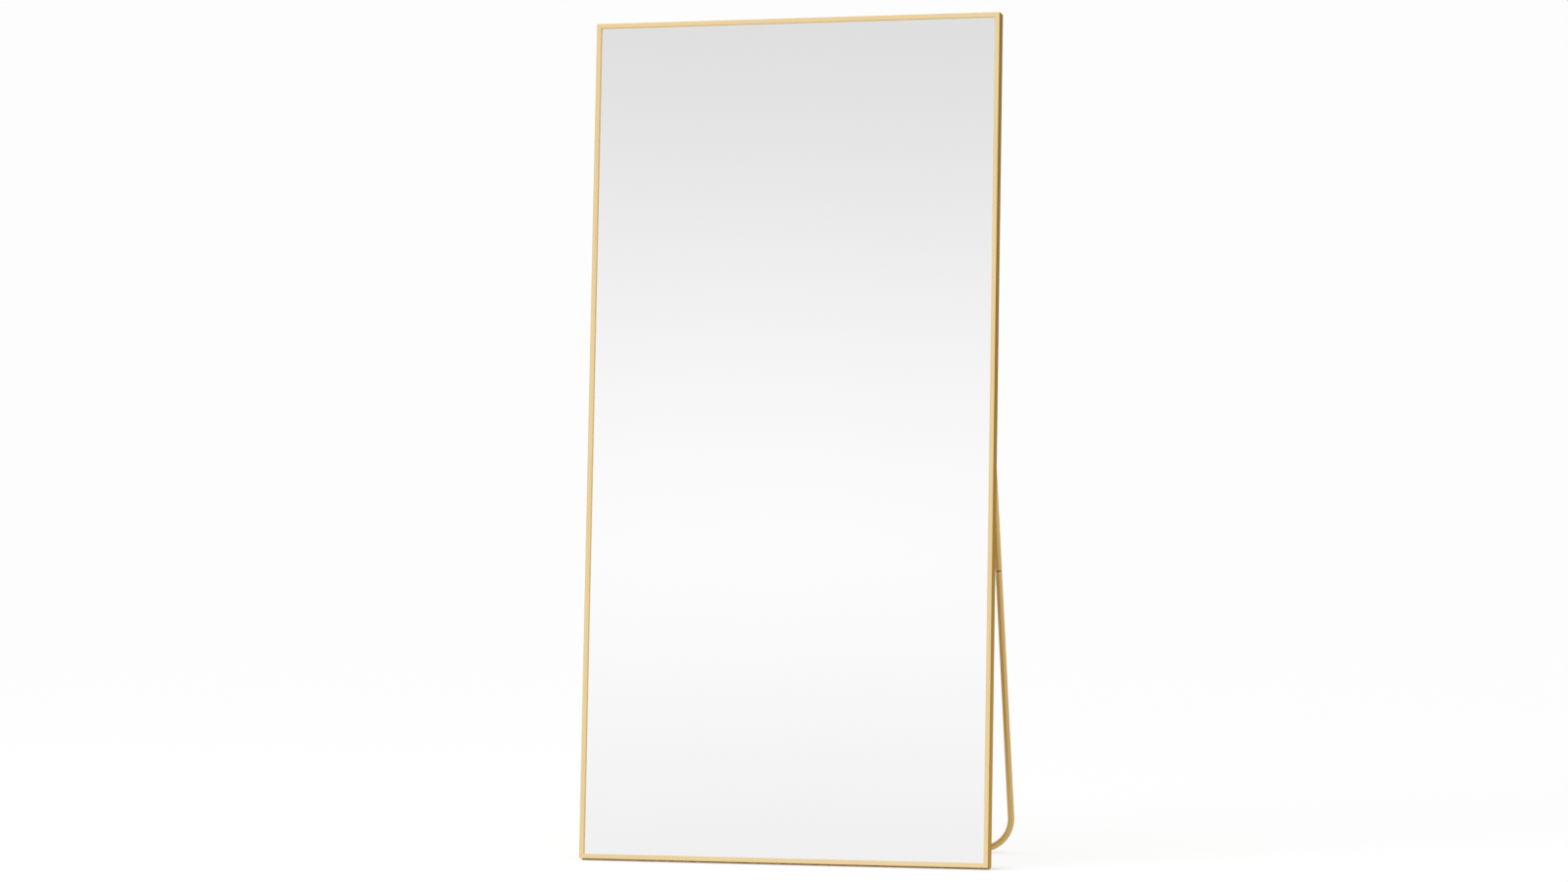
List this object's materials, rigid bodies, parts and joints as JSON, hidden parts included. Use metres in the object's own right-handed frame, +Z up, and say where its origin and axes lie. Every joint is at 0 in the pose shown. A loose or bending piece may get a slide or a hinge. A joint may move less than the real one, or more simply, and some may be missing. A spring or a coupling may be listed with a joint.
{
  "type": "full-length mirror",
  "caption": "Full-length mirror in a thin mitred metal frame, leaning back on a folding U-shaped tube stand that is hinged inside the rear of the frame.",
  "frame": {"origin": "floor, in the middle of the outline seen from above", "axes": "+X across the mirror to the viewer's right, +Y from the mirror to the stand, +Z up"},
  "size_m": [0.89, 0.4018, 1.8005],
  "materials": {
    "champagne_aluminium": "fine brushed champagne anodised",
    "gold_tube": "satin gold lacquered steel tube",
    "silvered_glass": "polished silvered float glass",
    "safety_film": "thin clear film",
    "foam_tape": "closed-cell foam",
    "fibre_board": "smooth natural fibreboard",
    "cast_zinc": "raw die casting",
    "zinc_steel": "bright zinc plated",
    "black_nylon": "moulded nylon",
    "black_rubber": "matt rubber",
    "tan_rubber": "matt tan rubber"
  },
  "bodies": {
    "panel": {"frame_left_stile": "champagne_aluminium", "frame_right_stile": "champagne_aluminium", "frame_top_rail": "champagne_aluminium", "frame_bottom_rail": "champagne_aluminium", "corner_key_bottom_left": "cast_zinc", "corner_key_top_left": "cast_zinc", "corner_key_top_right": "cast_zinc", "corner_key_bottom_right": "cast_zinc", "mirror_glass": "silvered_glass", "safety_film": "safety_film", "foam_tape_strips": "foam_tape", "back_board": "fibre_board", "glass_setting_blocks": "black_rubber", "hinge_bracket_left": "zinc_steel", "hinge_bracket_right": "zinc_steel", "hinge_nut_plates": "zinc_steel", "hinge_bracket_screws": "zinc_steel", "hinge_pivot_pins": "zinc_steel", "frame_foot_pads": "tan_rubber", "wall_hanger_left": "zinc_steel", "wall_hanger_right": "zinc_steel"},
    "stand": {"stand_upper_leg_left": "gold_tube", "stand_upper_leg_right": "gold_tube", "stand_lower_u": "gold_tube", "stand_end_plugs": "black_nylon", "stand_pivot_bushes": "black_nylon", "stand_foot_sleeves": "black_rubber"}
  },
  "joints": [
    {"name": "stand_fold", "type": "hinge", "parent": "panel", "child": "stand", "pos_m": [0, -0.09005, 1.16711], "axis": [-1, 0, 0], "range_deg": [0, 17]}
  ]
}
